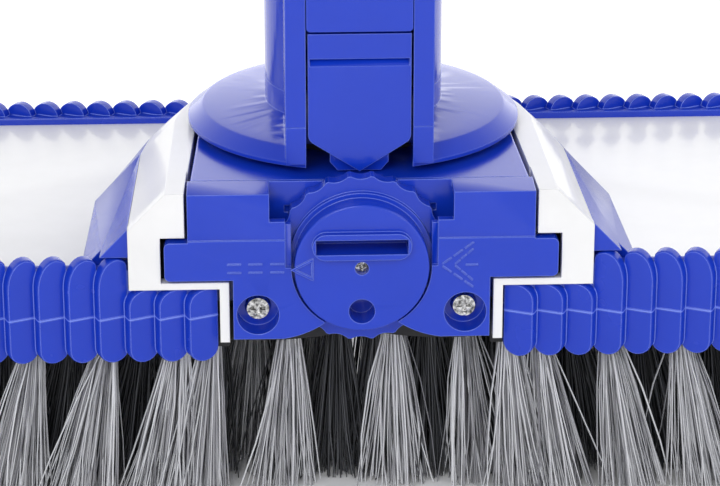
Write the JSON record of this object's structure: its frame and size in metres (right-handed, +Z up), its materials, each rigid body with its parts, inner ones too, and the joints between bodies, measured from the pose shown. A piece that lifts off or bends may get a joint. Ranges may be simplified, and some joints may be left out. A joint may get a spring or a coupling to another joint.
{
  "type": "pool wall brush head",
  "caption": "Wide pool brush head: bristle wings that fold back by a coin dial geared through racks, with a swivelling, latched pole socket on top.",
  "frame": {"origin": "on the bristle tips, midway along and midway across the head", "axes": "+X to the tip of the right wing, -Y towards the dial side, +Z up along the pole socket"},
  "size_m": [0.4596, 0.1501, 0.2146],
  "materials": {
    "blue_plastic": "glossy moulded",
    "blue_bumper": "satin moulded, slightly flexible",
    "white_plastic": "glossy moulded",
    "silver_filament": "translucent grey nylon filaments",
    "charcoal_filament": "dark nylon filaments",
    "acetal_gear": "natural moulded",
    "bush_plastic": "low-friction moulded",
    "stainless_steel": "bright"
  },
  "bodies": {
    "hub": {"hub_body": "blue_plastic", "hub_base": "blue_plastic", "front_cover": "blue_plastic", "cover_screws": "stainless_steel", "dial_washer": "bush_plastic", "right_hinge_pin": "stainless_steel", "left_hinge_pin": "stainless_steel", "swivel_washer": "stainless_steel", "swivel_bolt": "stainless_steel", "swivel_nut": "stainless_steel", "friction_ring": "bush_plastic"},
    "dial_shaft": {"dial": "blue_plastic", "dial_screw": "stainless_steel", "drive_pinion": "acetal_gear"},
    "upper_rack": {"right_rack": "acetal_gear"},
    "lower_rack": {"left_rack": "acetal_gear"},
    "right_wing": {"right_wing_deck": "white_plastic", "right_flank_cover": "blue_plastic", "right_bumper": "blue_bumper", "right_brush_block": "bush_plastic", "right_block_screws": "stainless_steel", "right_silver_bristles": "silver_filament", "right_charcoal_bristles": "charcoal_filament", "right_sector_gear": "acetal_gear", "right_hinge_bush": "bush_plastic"},
    "left_wing": {"left_wing_deck": "white_plastic", "left_flank_cover": "blue_plastic", "left_bumper": "blue_bumper", "left_brush_block": "bush_plastic", "left_block_screws": "stainless_steel", "left_silver_bristles": "silver_filament", "left_charcoal_bristles": "charcoal_filament", "left_sector_gear": "acetal_gear", "left_hinge_bush": "bush_plastic"},
    "pole_socket": {"turntable": "blue_plastic", "pole_tube": "blue_plastic", "channel_cover": "blue_plastic", "pole_screw": "stainless_steel", "latch_pin": "bush_plastic"},
    "latch": {"thumb_latch": "blue_plastic", "latch_spring": "stainless_steel"}
  },
  "joints": [
    {"name": "right_wing_fold", "type": "hinge", "parent": "hub", "child": "right_wing", "pos_m": [0.026, -0.008, 0.074], "axis": [0, 0, 1], "range_deg": [0, 24.83]},
    {"name": "left_wing_fold", "type": "hinge", "parent": "hub", "child": "left_wing", "pos_m": [-0.026, -0.008, 0.074], "axis": [0, 0, 1], "range_deg": [-24.85, 0]},
    {"name": "dial_turn", "type": "hinge", "parent": "hub", "child": "dial_shaft", "pos_m": [0, -0.065, 0.0778], "axis": [0, 1, 0], "range_deg": [0, 180.1]},
    {"name": "upper_rack_slide", "type": "slide", "parent": "hub", "child": "upper_rack", "axis": [1, 0, 0], "range_m": [0, 0.01572]},
    {"name": "lower_rack_slide", "type": "slide", "parent": "hub", "child": "lower_rack", "axis": [-1, 0, 0], "range_m": [0, 0.01572]},
    {"name": "socket_swivel", "type": "hinge", "parent": "hub", "child": "pole_socket", "pos_m": [0, -0.0076, 0.102], "axis": [0, 0, 1], "range_deg": [-70, 70]},
    {"name": "latch_press", "type": "hinge", "parent": "pole_socket", "child": "latch", "pos_m": [0, -0.0486, 0.125], "axis": [-1, 0, 0], "range_deg": [0, 5], "stiffness_Nm_per_rad": 1, "springref_deg": -2.86}
  ],
  "couplings": [
    {"joint": "left_wing_fold", "follows": "right_wing_fold", "ratio": -1},
    {"joint": "dial_turn", "follows": "right_wing_fold", "ratio": 7.25},
    {"joint": "upper_rack_slide", "follows": "right_wing_fold", "m_per_rad": 0.03625},
    {"joint": "lower_rack_slide", "follows": "right_wing_fold", "m_per_rad": 0.03625}
  ]
}
